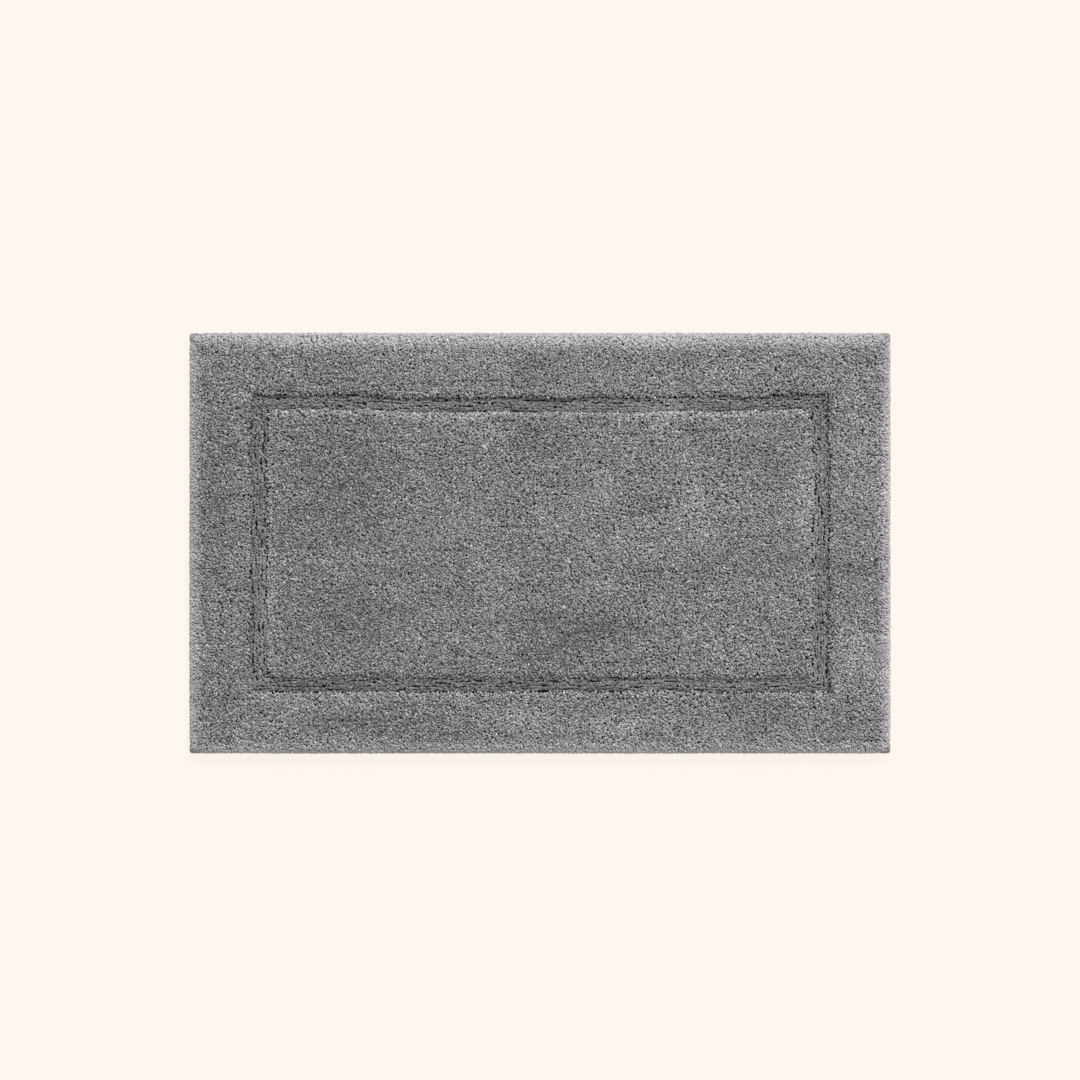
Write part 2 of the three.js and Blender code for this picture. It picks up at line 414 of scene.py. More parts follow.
def ring_lines(insets, step, wander, wave):
    """Yarn ends on rectangles round the mat, each that far in from its edge, and each end's direction."""
    lines = []
    for line, inset in enumerate(insets):
        half_x, half_y = HALF_LENGTH - inset, HALF_WIDTH - inset
        late = 0.5 * (line % 2) * step
        for side in (-1, 1):
            run = np.arange(-half_x + late, half_x, step)
            there = np.full(run.size, side * half_y)
            off = wander * soft_noise(run, there, wave, EVEN, seed=41 + line)
            lines.append((run, there + off, np.zeros(run.size)))
            run = np.arange(-half_y + step - late, half_y - 0.5 * step, step)
            there = np.full(run.size, side * half_x)
            off = wander * soft_noise(there, run, EVEN, wave, seed=51 + line)
            lines.append((there + off, run, np.full(run.size, math.pi / 2)))
    return np.concatenate(lines, axis=1)


def strayed(x, y, turn, jitter, turning):
    """The plies of yarn ends that stray from their places and directions."""
    x = x + rng.normal(0, jitter, x.size)
    y = y + rng.normal(0, jitter, y.size)
    return two_plies(x, y, turn + rng.normal(0, turning, x.size))


def edge_grid():
    """Roots of the outermost plies, which stand in straight lines close to the mat's edge."""
    x, y, turn = ring_lines(EDGE_INSETS, EDGE_STEP, wander=0, wave=EVEN)
    return strayed(x, y, turn, EDGE_JITTER, EDGE_TURN)


def channel_grid():
    """Roots of the short pile's plies, on rows that follow the channel round."""
    pitch = (CHANNEL_INNER + 0.5 * CENTRE_SLACK[0] - CHANNEL_OUTER) / CHANNEL_ROWS
    insets = [CHANNEL_OUTER + (row + share) * pitch for row in range(CHANNEL_ROWS) for share in END_SHARES]
    x, y, turn = ring_lines(insets, CHANNEL_STEP, CHANNEL_WANDER, CHANNEL_WAVE)
    shift_x, shift_y = channel_shift(x, y)
    return strayed(x + shift_x, y + shift_y, turn, CHANNEL_JITTER, CHANNEL_TURN)


def ply_places():
    """Every ply's root, and whether it is one of the short ones in the channel."""
    inner_x, inner_y = stitch_grid()
    edge_x, edge_y = edge_grid()
    x, y = np.concatenate([inner_x, edge_x]), np.concatenate([inner_y, edge_y])
    to_x, to_y, _ = inset_of(x, y)
    under_fold = 2 * MM
    kept = ~in_channel(x, y) & (to_x + to_y > FOLD_LEG - under_fold)
    short_x, short_y = channel_grid()
    low = np.concatenate([np.zeros(np.count_nonzero(kept), bool), np.ones(short_x.size, bool)])
    return np.concatenate([x[kept], short_x]), np.concatenate([y[kept], short_y]), low


# ------------ how its yarns stand, and their tones

def looseness(x, y):
    """How freely the yarn stands: hardly at all at the mat's edge, which is trimmed straight."""
    _, _, inset = inset_of(x, y)
    trimmed = 0.15
    return trimmed + (1 - trimmed) * fade(inset, 3 * MM, 13 * MM)


def brushed(x, y):
    """How the pile's nap lies at a point: + where it leans back to the light."""
    nap = np.zeros(x.size)
    for place_x, place_y, half_x, half_y, strength in BRUSH_MARKS:
        far = ((x / MM - place_x) / half_x) ** 2 + ((y / MM - place_y) / half_y) ** 2
        nap += strength * np.exp(-far)
    return nap


def partings(x, y, count=110, band=3.5 * MM):
    """Short lines along the rows where the pile parts. Gives the lean in y and the drop, 0 to about 1."""
    draw = np.random.default_rng(77)
    lean, drop = np.zeros(x.size), np.zeros(x.size)
    for _ in range(count):
        line_x = draw.uniform(-HALF_LENGTH, HALF_LENGTH)
        line_y = draw.uniform(-HALF_WIDTH, HALF_WIDTH)
        half = draw.uniform(12, 55) * MM
        depth = draw.uniform(0.4, 1.0)
        slope = draw.normal(0, 0.02)
        off = y - line_y - slope * (x - line_x)
        part = depth * np.clip(1 - ((x - line_x) / half) ** 2, 0, 1) * np.exp(-(off / band) ** 2)
        lean += part * np.sign(off)
        drop += part
    return lean, drop


def by_end(spread, count):
    """A random number for every two plies that follow each other, mostly the two of one yarn end."""
    return np.repeat(rng.normal(0, spread, count // 2 + 1), 2)[:count]


def ply_tops(x, y, low, part_drop):
    """How high each ply's tip stands."""
    to_x, to_y, inset = inset_of(x, y)
    _, _, wall = inset_of(*shears_place(x, y))
    loose = looseness(x, y)
    top = np.where(low, CHANNEL_TOP, PILE_TOP) - TIP_ROOM
    top += (by_end(END_HEIGHT, x.size) + rng.normal(0, PLY_HEIGHT, x.size)) * loose
    top += WIDE_HEIGHT * soft_noise(x, y, WIDE_WAVE, WIDE_WAVE, seed=21)
    top += SMALL_HEIGHT * soft_noise(x, y, SMALL_WAVE, SMALL_WAVE, seed=23)
    top -= PARTING_DROP * part_drop * loose
    top -= np.interp(inset, EDGE_ROOT, EDGE_DROP)
    top += TRIMMED_HEIGHT * rng.normal(0, 1, x.size).clip(-1.5, 1.5) * (1 - loose)
    along_x = soft_noise(x, y, RIDGE_LENGTH, RIDGE_WIDTH, seed=22)
    along_y = soft_noise(x, y, RIDGE_WIDTH, RIDGE_LENGTH, seed=24)
    ridges = RIDGE_HEIGHT * np.where(to_y < to_x, along_x, along_y)
    dip = DIP_DEPTH * near(wall - CHANNEL_OUTER, DIP_REACH)
    from_wall = np.where(wall < CHANNEL_OUTER, CHANNEL_OUTER - wall, wall - CHANNEL_INNER)
    shoulder = SHOULDER_DROP * near(from_wall, SHOULDER_REACH) ** 2
    return top + np.where(low, ridges - dip, -shoulder)


def ply_leans(x, y, low, part_lean):
    """Which way and how far the tips lean."""
    to_x, to_y, _ = inset_of(x, y)
    wall_x, wall_y, wall = inset_of(*shears_place(x, y))
    lean_x = WIDE_LEAN * soft_noise(x, y, *WIDE_PATCHES[0], seed=11)
    lean_x += SMALL_LEAN * soft_noise(x, y, SMALL_PATCH, SMALL_PATCH, seed=12)
    lean_y = WIDE_LEAN * soft_noise(x, y, *WIDE_PATCHES[1], seed=13)
    lean_y += SMALL_LEAN * soft_noise(x, y, SMALL_PATCH, SMALL_PATCH, seed=14)
    lean_y += BRUSHED_LEAN * brushed(x, y) + PARTED_LEAN * part_lean
    calm = np.where(low, SHORT_PILE_SHARE, 1.0) * looseness(x, y)
    unruly = 1 - 0.5 * smooth(0.5 + 1.2 * soft_noise(x, y, 150 * MM, 110 * MM, seed=15))
    lean_x = (lean_x + by_end(END_LEAN, x.size) * unruly + rng.normal(0, PLY_LEAN, x.size)) * calm
    lean_y = (lean_y + by_end(END_LEAN, x.size) * unruly + rng.normal(0, PLY_LEAN, x.size)) * calm
    # the pile hangs over three of the corner folds, and leaves the back left one open
    hang = HANG_LEAN * near(from_fold(to_x, to_y), HANG_REACH) * ((x > 0) | (y < 0))
    at_edge = fade(to_x + to_y, FOLD_LEG + 1 * MM, FOLD_LEG + 13 * MM)
    in_border = (wall < CHANNEL_OUTER) & ~low
    in_centre = (wall > CHANNEL_INNER) & ~low
    for place, lean, to_edge, to_wall in ((x, lean_x, to_x, wall_x), (y, lean_y, to_y, wall_y)):
        outward = hang + at_edge * np.interp(to_edge, EDGE_ROOT, EDGE_LEAN)
        # the tall pile's walls spread into the channel
        outward += WALL_LEAN * in_centre * near(to_wall - CHANNEL_INNER, WALL_REACH)
        by_wall = near(CHANNEL_OUTER - to_wall, WALL_REACH) * (to_wall < CHANNEL_OUTER)
        outward -= WALL_LEAN * in_border * by_wall
        lean += np.sign(place) * outward
    return lean_x, lean_y


def flank_painted_light(x, y):
    """The painted sheen of the mat's flanks, that sheen as the light falls on each side, and the painted
    light or shade of their edges.
    """
    _, _, inset = inset_of(x, y)
    flank, shared, edge = np.zeros((3, x.size))
    for side, (to_side, here) in by_side(x, y).items():
        share, narrower, edge_painted_light, edge_reach = FLANK_PAINTED_LIGHT_BY_SIDE[side]
        # painted sheen on the flanks, and painted light or shade at their edges
        flank[here] = np.interp(narrower * inset[here], FLANK_INSET, FLANK_PAINTED_SHEEN)
        shared[here] = share * flank[here]
        edge += edge_painted_light * near(to_side, edge_reach)
    return flank, shared, edge


def channel_painted_light_and_shade(x, y, low):
    """Painted light and shade on the channel's walls and on the low pile between them."""
    place = shears_place(x, y)
    _, _, wall = inset_of(*place)
    to_centre, to_border = CHANNEL_INNER - wall, wall - CHANNEL_OUTER
    tone = np.zeros(x.size)
    for side, (_, here) in by_side(*place).items():
        centre_wall, border_wall, floor, by_centre, by_border = CHANNEL_PAINTED_LIGHT_AND_SHADE[side]
        # the walls are painted paler where they face the light and darker where they face away
        tall = centre_wall * near(-to_centre, CENTRE_WALL_REACH) * (to_centre <= 0)
        tall += border_wall * near(-to_border, BORDER_WALL_REACH) * (to_border <= 0)
        # the low pile is painted darker as shade in the channel, and lighter or darker beside the walls
        short = floor + by_centre * near(to_centre, BY_CENTRE_REACH)
        short += by_border * near(to_border, BY_BORDER_REACH)
        tone += here * np.where(low, short, tall)
    return tone


def ply_tones(x, y, low, part_drop, flank):
    """Each ply's tone, with its painted light and shade, but for what the mat's flanks add to it."""
    to_x, to_y, _ = inset_of(x, y)
    varied = by_end(END_TONE, x.size) + rng.normal(0, PLY_TONE, x.size)
    tone = PLAIN_TONE + varied * np.where(low, SHORT_PILE_SHARE, 1 - FLANK_CALM * flank)
    # painted sheen where brush marks lean the tips to the light, painted shade in partings, painted light
    # growing to the right
    tone += BRUSHED_SHEEN * brushed(x, y) + PARTED_SHADE * part_drop + LENGTH_PAINTED_LIGHT * x / HALF_LENGTH
    # painted light and shade of the channel
    tone += channel_painted_light_and_shade(x, y, low)
    # painted shade in the creases by the folds
    tone += CREASE_SHADE * near(from_fold(to_x, to_y), CREASE_REACH)
    return tone + PATCH_TONE * soft_noise(x, y, PATCH_LENGTH, PATCH_WIDTH, seed=31)


def all_plies():
    """Every ply, and whether it is one of the short ones in the channel."""
    x, y, low = ply_places()
    _, _, inset = inset_of(x, y)
    part_lean, part_drop = partings(x, y)
    top = ply_tops(x, y, low, part_drop)
    lean_x, lean_y = ply_leans(x, y, low, part_lean)
    flank, shared, edge = flank_painted_light(x, y)
    # the flanks' painted sheen and their edges' painted light and shade join each ply's tone
    tone = ply_tones(x, y, low, part_drop * looseness(x, y), flank) + shared + edge
    swell = np.where(low, CHANNEL_SWELL, 1 + FLANK_SWELL * shared)
    # painted shade at the roots, less of it near the mat's edge
    deep = EDGE_SHELTER + (1 - EDGE_SHELTER) * fade(inset, 0, SHELTER_REACH)
    shelter = np.where(low, CHANNEL_SHELTER, deep)
    return Plies(x, y, top, lean_x, lean_y, swell, tone, shelter), low


# ------------ the pile's pieces

# One ply of a yarn end, ring by ring from its root: how far below the tip, its radius, how much of the lean
# it has, and how much painted shade its depth gives it
RINGS = (
    (None, 1.15 * MM, 0.00, 1.00),
    (2.2 * MM, 1.64 * MM, 0.40, 0.35),
    (0.5 * MM, 1.11 * MM, 1.00, 0.06),
)
TIP_LEAN = 1.15
FULL_TILT_LEAN = 3 * MM


def ply_shape():
    """One ply's triangles, on rings of PLY_SIDES vertices and a tip, and how deep each vertex is."""
    sides, rings = PLY_SIDES, len(RINGS)
    triangles = [(0, k + 1, k) for k in range(1, sides - 1)] + ring_faces(rings, sides, upward=True)
    last = (rings - 1) * sides
    triangles += [(last + k, last + (k + 1) % sides, rings * sides) for k in range(sides)]
    depth = np.concatenate([np.full(sides, ring[3]) for ring in RINGS] + [np.zeros(1)])
    return np.array(triangles), depth


def ply_layout(triangles):
    """Where each corner of a ply's triangles goes in its square of the baked image, 0 to 1: the tip in
    the middle and the root outside. The root's own cap is never seen, so it gets no room."""
    outermost = 0.46
    ring = np.minimum(triangles // PLY_SIDES, len(RINGS))
    out = outermost * (1 - ring / len(RINGS))
    turn = (triangles % PLY_SIDES) * 2 * math.pi / PLY_SIDES
    place = np.stack([0.5 + out * np.cos(turn), 0.5 + out * np.sin(turn)], -1)
    place[: PLY_SIDES - 2] = place[0, 0]
    return place.reshape(-1, 2)


def ply_vertices(plies):
    """The vertices of a closed, lumpy ply for each root, as (ply, vertex, coordinate)."""
    x, y, top, lean_x, lean_y, swell, _, _ = plies
    count = x.size
    phase = rng.uniform(0, 2 * math.pi, count)
    twist = rng.normal(0, 0.4, count)
    size = swell * rng.normal(1.0, 0.12, count).clip(0.7, 1.35)
    tilt = rng.uniform(0.4, 1.1, count)
    length = np.hypot(lean_x, lean_y) + 1e-9
    points = []
    for ring, (below, radius, share, _) in enumerate(RINGS):
        turned = circle(PLY_SIDES)[None, :] + (phase + ring * twist)[:, None]
        r = radius * size[:, None] * (1 + rng.normal(0, 0.13, (count, PLY_SIDES)))
        off_x, off_y = r * np.cos(turned), r * np.sin(turned)
        along = (off_x * lean_x[:, None] + off_y * lean_y[:, None]) / length[:, None]
        drop = (tilt * share * np.clip(length / FULL_TILT_LEAN, 0, 1))[:, None] * along
        px = x[:, None] + share * lean_x[:, None] + off_x
        py = y[:, None] + share * lean_y[:, None] + off_y
        pz = np.full_like(px, PILE_BASE) if below is None else (top - below)[:, None] - drop
        points.append(np.stack([px, py, pz], -1))
    tip_z = top + rng.normal(0, 0.1 * MM, count)
    tip = np.stack([x + TIP_LEAN * lean_x, y + TIP_LEAN * lean_y, tip_z], -1)
    return np.concatenate(points + [tip[:, None]], 1)


def some_of(plies, chosen):
    return Plies(*(values[chosen] for values in plies))


def add_pile(name, region, slot, material, replaced):
    """A region's plies as pieces, cut along its longer way so that none is too heavy."""
    triangles, depth = ply_shape()
    layout = ply_layout(triangles)
    parts = int(math.ceil(region.x.size * len(triangles) / MOST_TRIANGLES))
    order = np.argsort(region.x if np.ptp(region.x) > np.ptp(region.y) else region.y, kind="stable")
    for part, pick in enumerate(np.array_split(order, parts)):
        plies = some_of(region, pick)
        vertices = ply_vertices(plies)
        count, per_ply = vertices.shape[:2]
        faces = (triangles[None] + per_ply * np.arange(count)[:, None, None]).reshape(-1, 3)
        piece = new_mesh(name if parts == 1 else f"{name}_{part + 1}", vertices.reshape(-1, 3), faces)
        point_values(piece, "yarn_tone", np.repeat(plies.tone, per_ply))
        point_values(piece, "yarn_depth", np.outer(plies.shelter, depth))
        squares = math.ceil(math.sqrt(count))
        corner = np.stack(np.divmod(np.arange(count), squares), -1)
        places = (corner[:, None] + layout[None]) / squares
        piece.data.uv_layers.new(name="OFBake").data.foreach_set("uv", places.astype(np.float32).ravel())
        finish_piece(piece, material, slot, replaced)


# ------------ cloth, thread and latex

def cloth_place(piece, along, across):
    """Stores where each vertex lies in the flat cloth, for the weave."""
    flat = np.stack([along.ravel(), across.ravel(), np.zeros(along.size)], 1)
    copies = len(piece.data.vertices) // len(flat)
    point_values(piece, "cloth_place", np.tile(flat, (copies, 1)), "FLOAT_VECTOR")


def cloth_between(node, stuff, slot, material, low, high, along, across):
    """A closed sheet of cloth between two grids of points, whose rows run along x. It stands in for a
    CAD node, and its points lie along and across the flat cloth."""
    index = np.arange(low[..., 0].size).reshape(low.shape[:2])
    rim = rim_of(index)
    up = grid_faces(index)
    faces = np.concatenate([up[:, ::-1], up + index.size, wall_faces(rim, rim + index.size)])
    vertices = np.concatenate([low.reshape(-1, 3), high.reshape(-1, 3)])
    piece = new_mesh(f"{node}_{stuff}", vertices, faces)
    piece.data.set_sharp_from_angle(angle=math.radians(50))
    cloth_place(piece, along, across)
    finish_piece(piece, material, slot, node)
    return piece


def add_backing_cloth(material):
    """The canvas that the yarn is stitched through: it shows as a thin edge between hem and pile."""
    step, rim, frayed, cut_corner, thinner = 6 * MM, 10 * MM, 0.35 * MM, 1.5 * MM, 0.12 * MM
    along, across = grid_over(CLOTH_LOW, CLOTH_HIGH, step, step)
    edge_x = near(CLOTH_HIGH[0] - np.abs(along), rim) * np.sign(along)
    edge_y = near(CLOTH_HIGH[1] - np.abs(across), rim) * np.sign(across)
    x = along - edge_x * frayed * (1 + soft_noise(along, across, EVEN, 25 * MM, seed=61))
    y = across - edge_y * frayed * (1 + soft_noise(x, across, 25 * MM, EVEN, seed=62))
    at_corner = (np.abs(edge_x) == 1) & (np.abs(edge_y) == 1)
    x -= at_corner * cut_corner * np.sign(x)
    y -= at_corner * cut_corner * np.sign(y)
    wave = 0.10 * MM * soft_noise(along, across, 30 * MM, 30 * MM, seed=63)
    low = np.stack([x, y, CLOTH_LOW[2] + thinner + wave], -1)
    high = np.stack([x, y, CLOTH_HIGH[2] - thinner + wave], -1)
    return cloth_between("backing_cloth", "canvas", "backing_cloth", material, low, high, along, across)


# The hem tape's section in mm, from its outer edge to its inner one: distance in, underside and top.
# The edges are turned in, so they are double, and the two rows of stitching pull the underside in.
TAPE_SECTION = (
    (0.0, 0.55, 0.95),
    (0.25, 0.20, 1.30),
    (0.9, 0.06, 1.42),
    (2.4, 0.03, 1.45),
    (3.4, 0.12, 1.45),
    (3.7, 0.48, 1.45),
    (4.3, 0.48, 1.45),
    (4.6, 0.12, 1.45),
    (5.8, 0.05, 1.45),
    (6.8, 0.10, 1.42),
    (7.2, 0.42, 1.40),
    (10.5, 0.46, 1.38),
    (14.0, 0.44, 1.36),
    (17.5, 0.46, 1.38),
    (20.8, 0.42, 1.40),
    (21.2, 0.10, 1.42),
    (22.2, 0.05, 1.45),
    (23.4, 0.12, 1.45),
    (23.7, 0.48, 1.45),
    (24.3, 0.48, 1.45),
    (24.6, 0.12, 1.45),
    (25.8, 0.03, 1.45),
    (27.1, 0.06, 1.42),
    (27.75, 0.20, 1.30),
    (28.0, 0.55, 0.95),
)
TAPE_WIDTH = TAPE_SECTION[-1][0] * MM


def add_hem_tape(side, turn, material):
    """One strip of tape, made as the front one and turned into place. Its ends are mitred."""
    step, seam, selvage = 3.2 * MM, 0.2 * MM, 6 * MM
    rounding, rounded_to = 2.4 * MM, 3 * MM
    outer_ripple, inner_ripple = 0.30 * MM, 0.25 * MM
    half_run, half_depth = (HALF_LENGTH, HALF_WIDTH) if turn % 2 == 0 else (HALF_WIDTH, HALF_LENGTH)
    across, under, over = np.array(TAPE_SECTION).T * MM
    reach = half_run - TAPE_OUTER - across - seam - rounding * near(across, rounded_to) ** 2
    along = span(-1, 1, step / half_run)[:, None] * reach[None]
    across = np.broadcast_to(across, along.shape)
    puckers = soft_noise(along, across, 5.5 * MM, EVEN, seed=70 + turn)
    ripple = soft_noise(along, across, 24 * MM, 12 * MM, seed=80 + turn)
    y = TAPE_OUTER + across - half_depth
    y += outer_ripple * ripple * near(across, selvage)
    y -= inner_ripple * ripple * near(TAPE_WIDTH - across, selvage)
    soft = 0.07 * MM * puckers + 0.05 * MM * ripple
    low = np.stack([along, y, np.maximum(under + np.maximum(soft, 0), 0)], -1)
    high = np.stack([along, y, np.minimum(over - np.abs(soft), TAPE_TOP)], -1)
    cos, sin = math.cos(turn * math.pi / 2), math.sin(turn * math.pi / 2)
    for grid in (low, high):
        grid[..., :2] = grid[..., :2] @ np.array(((cos, sin), (-sin, cos)))
    return cloth_between(f"hem_tape_{side}", "twill", "hem_tape", material, low, high, along, across)


# A stitch of the hem's thread, and its rings: how far along, how wide and how far up in mm
THREAD_PITCH, THREAD_LENGTH, THREAD_RADIUS = 3.8 * MM, 3.3 * MM, 0.29 * MM
THREAD_SIDES = 6
THREAD_RINGS = (
    (-0.50, 0.30, 0.22),
    (-0.36, 0.85, 0.04),
    (0.0, 1.0, 0.0),
    (0.36, 0.85, 0.04),
    (0.50, 0.30, 0.22),
)


def add_stitches(row, material):
    """A row of stitches right round the hem, each a short thread that dives into the tape at its ends."""
    low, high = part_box(f"{row}_hem_thread")
    inside = 0.35 * MM
    half_x, half_y = high[0] - inside, high[1] - inside
    run_x, run_y = (
        np.arange(0.6 * THREAD_PITCH - half, half - 0.5 * THREAD_PITCH, THREAD_PITCH)
        for half in (half_x, half_y)
    )
    places = []
    for side in (-1, 1):
        places += [(run, side * half_y, 0) for run in run_x]
        places += [(side * half_x, run, math.pi / 2) for run in run_y]
    places = np.array(places)
    count = len(places)
    angle = places[:, 2] + rng.normal(0, 0.04, count)
    around = circle(THREAD_SIDES)
    points = []
    for along, wide, rise in THREAD_RINGS:
        reach = np.full(THREAD_SIDES, along * THREAD_LENGTH)
        off = wide * THREAD_RADIUS * np.cos(around)
        up = wide * THREAD_RADIUS * np.sin(around) + rise * MM
        points.append(np.stack([reach, off, up], -1))
    shape = np.concatenate(points)
    cos, sin = np.cos(angle)[:, None], np.sin(angle)[:, None]
    x = places[:, :1] + shape[None, :, 0] * cos - shape[None, :, 1] * sin
    y = places[:, 1:2] + shape[None, :, 0] * sin + shape[None, :, 1] * cos
    z = np.broadcast_to(0.5 * (low[2] + high[2]) + shape[None, :, 2], x.shape)
    last = (len(THREAD_RINGS) - 1) * THREAD_SIDES
    faces = ring_faces(len(THREAD_RINGS), THREAD_SIDES)
    faces += [(0, k, k + 1) for k in range(1, THREAD_SIDES - 1)]
    faces += [(last, last + k + 1, last + k) for k in range(1, THREAD_SIDES - 1)]
    triangles = (np.array(faces)[None] + len(shape) * np.arange(count)[:, None, None]).reshape(-1, 3)
    piece = new_mesh(f"{row}_hem_stitches", np.stack([x, y, z], -1).reshape(-1, 3), triangles)
    finish_piece(piece, material, "hem_thread", f"{row}_hem_thread")
    return piece


def latex_underside(x, y):
    """How high the coat's underside is: ribs under the rows of tufting, knotted about once a stitch,
    then an uneven coat, thin at its edges and kept clear of the label."""
    valley, knot, grain, pooled, thin = 0.46 * MM, 0.20 * MM, 0.10 * MM, 0.16 * MM, 0.5 * MM
    between = np.arange(y.shape[1])[None, :] % 2
    stitch = (np.arange(x.shape[0])[:, None] + np.arange(y.shape[1])[None, :] // 2) % 2
    z = valley * between + knot * stitch * (1 - between)
    z += grain * (1 + soft_noise(x, y, 14 * MM, 14 * MM, seed=91)) * rng.uniform(0.3, 1.0, x.shape)
    z += pooled * np.abs(soft_noise(x, y, 60 * MM, 35 * MM, seed=92))
    to_edge = np.minimum(COAT_HIGH[0] - np.abs(x), COAT_HIGH[1] - np.abs(y))
    z = np.maximum(z + thin * near(to_edge, 3 * MM), 0)
    label_low, label_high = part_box("care_label")
    margin, clear = 3 * MM, 0.35 * MM
    over_label = (x > label_low[0] - margin) & (x < label_high[0] + margin)
    over_label &= (y > label_low[1] - margin) & (y < label_high[1] + margin)
    return np.where(over_label, np.maximum(z, label_high[2] + clear), z)


def add_latex_coat(material):
    """The coat under the cloth, closed by a flat top just under the cloth."""
    x, y = grid_over(COAT_LOW, COAT_HIGH, 0.55 * STITCH_PITCH, ROW_PITCH / 2)
    low = np.stack([x, y, latex_underside(x, y)], -1).reshape(-1, 3)
    index = np.arange(x.size).reshape(x.shape)
    rim = rim_of(index)
    top_rim = x.size + np.arange(rim.size)
    centre = np.full(rim.size, x.size + rim.size)
    top = COAT_HIGH[2] - 0.05 * MM
    top_points = np.column_stack([low[rim, :2], np.full(rim.size, top)])
    vertices = np.concatenate([low, top_points, [(0, 0, top)]])
    cap = np.stack([top_rim, np.roll(top_rim, -1), centre], 1)
    faces = np.concatenate([grid_faces(index)[:, ::-1], wall_faces(rim, top_rim), cap])
    piece = new_mesh("latex_coat_ribbed", vertices, faces)
    piece.data.set_sharp_from_angle(angle=math.radians(60))
    deepest = 0.8 * MM
    point_values(piece, "valley", np.clip(vertices[:, 2] / deepest, 0, 1))
    finish_piece(piece, material, "latex_coat", "latex_coat")
    return piece


def add_care_label(material):
    """A blank satin label, with its two short ends turned under and a little curl."""
    low_corner, high_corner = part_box("care_label")
    step, turned_end, turned_edge, free_edge = 1.5 * MM, 5 * MM, 1.2 * MM, 10 * MM
    hang, lowest = 0.12 * MM, 0.02 * MM
    x, y = grid_over(low_corner, high_corner, step, step)
    to_end = np.minimum(x - low_corner[0], high_corner[0] - x)
    turned = 1 - fade(to_end, turned_end, turned_end + turned_edge)
    curl = 0.10 * MM * soft_noise(x, y, 18 * MM, 12 * MM, seed=95)
    hanging = turned + near(y - low_corner[1], free_edge) ** 2
    under = low_corner[2] + 0.5 * hang + curl - hang * hanging
    low = np.stack([x, y, np.maximum(under, lowest)], -1)
    high = np.stack([x, y, high_corner[2] + curl], -1)
    return cloth_between("care_label", "satin", "care_label", material, low, high, x, y)


# A corner fold: its vertices round, its outer corner's rounding, its middle as a share of its leg, and
# its rings from the middle over the rim and down the side: share of the way out and of the way down
FOLD_SIDES = 72
FOLD_ROUNDING = 4.5 * MM
FOLD_MIDDLE = 0.30
FOLD_RINGS = [(out, 0.16 * out ** 2) for out in (0.12, 0.3, 0.48, 0.64, 0.78, 0.88)]
FOLD_RINGS += [(0.95, 0.25), (0.985, 0.36), (1.0, 0.52), (0.99, 0.75)]
FOLD_CLOTH = 0.7 * MM
FOLD_STEP = 0.75 * MM
PUCKER_HEIGHT, PUCKER_WAVE = 0.22 * MM, 1.15 * MM


def add_corner_fold(corner, material):
    """The hem's cloth folded over a corner: a soft crowned flap whose two layers meet in a crease."""
    way_x, way_y = CORNERS[corner]
    side = FOLD_TOP - PILE_BASE
    middle = np.full(2, FOLD_MIDDLE * FOLD_LEG)
    outline = np.column_stack([np.cos(circle(FOLD_SIDES)), np.sin(circle(FOLD_SIDES))])
    reach = np.array([fold_reach(middle, way) for way in outline])
    rings = [(out, FOLD_TOP - down * side) for out, down in FOLD_RINGS]
    rings.append((0.95, PILE_BASE + 0.15 * MM))
    points = [np.array([[*middle, FOLD_TOP]])]
    for share, height in rings:
        flat = middle + outline * (reach * share)[:, None]
        points.append(np.column_stack([flat, np.full(FOLD_SIDES, height)]))
    vertices = np.concatenate(points)
    u, v = vertices[:, 0], vertices[:, 1]
    above = smooth((vertices[:, 2] - PILE_BASE) / side * 1.6 - 0.5)
    # one layer lies over the other along a line from the outer corner, and the inner side puckers
    over = smooth((u - v + 0.2 * (u + v)) / (0.5 * MM) + 0.5)
    pucker = np.sin((u - v) / PUCKER_WAVE + 1.7 * way_x + 0.6 * way_y)
    drop = FOLD_STEP * over + PUCKER_HEIGHT * pucker * np.clip((u + v) / FOLD_LEG - 0.35, 0, 1)
    vertices[:, 2] -= above * drop
    # the cloth on the fold's sides is part of the flat cloth too
    flat_u = u + 0.6 * (FOLD_TOP - vertices[:, 2]) * np.sign(u - middle[0])
    vertices[:, 0] = way_x * (HALF_LENGTH - u)
    vertices[:, 1] = way_y * (HALF_WIDTH - v)
    faces = np.array(dome_faces(len(rings), FOLD_SIDES))
    if way_x * way_y < 0:
        faces = faces[:, ::-1]
    piece = new_mesh(f"corner_fold_{corner}_cloth", vertices, faces)
    cloth_place(piece, flat_u, vertices[:, 1])
    thick = piece.modifiers.new("cloth", "SOLIDIFY")
    thick.thickness = FOLD_CLOTH
    thick.offset = -1
    finish_piece(piece, material, "hem_tape", f"corner_fold_{corner}")
    return piece


def fold_reach(middle, way):
    """How far the flap's outline is from its middle in a direction: two edges and a diagonal, rounded."""
    squareness = 7
    total = 0.0
    for normal, offset in (((-1, 0), 0), ((0, -1), 0), ((1, 1), FOLD_LEG)):
        toward = np.dot(way, normal)
        if toward > 0:
            total += (toward / (offset - np.dot(middle, normal))) ** squareness
    reach = total ** (-1 / squareness)
    point = middle + way * reach
    if max(point) < FOLD_ROUNDING:
        out = math.hypot(*(FOLD_ROUNDING - point))
        reach -= max(0.0, out - FOLD_ROUNDING)
    return reach


# ------------ materials

def set_inputs(node, **values):
    """Sets a node's inputs by their names, with _ for a space."""
    for name, value in values.items():
        node.inputs[name.replace("_", " ")].default_value = value


def new_material(name):
    material = bpy.data.materials.new(name)
    material.use_nodes = True
    return material, material.node_tree, material.node_tree.nodes["Principled BSDF"]


def attribute(tree, name, output="Fac"):
    """A value that is stored on the mesh."""
    node = tree.nodes.new("ShaderNodeAttribute")
    node.attribute_name = name
    return node.outputs[output]


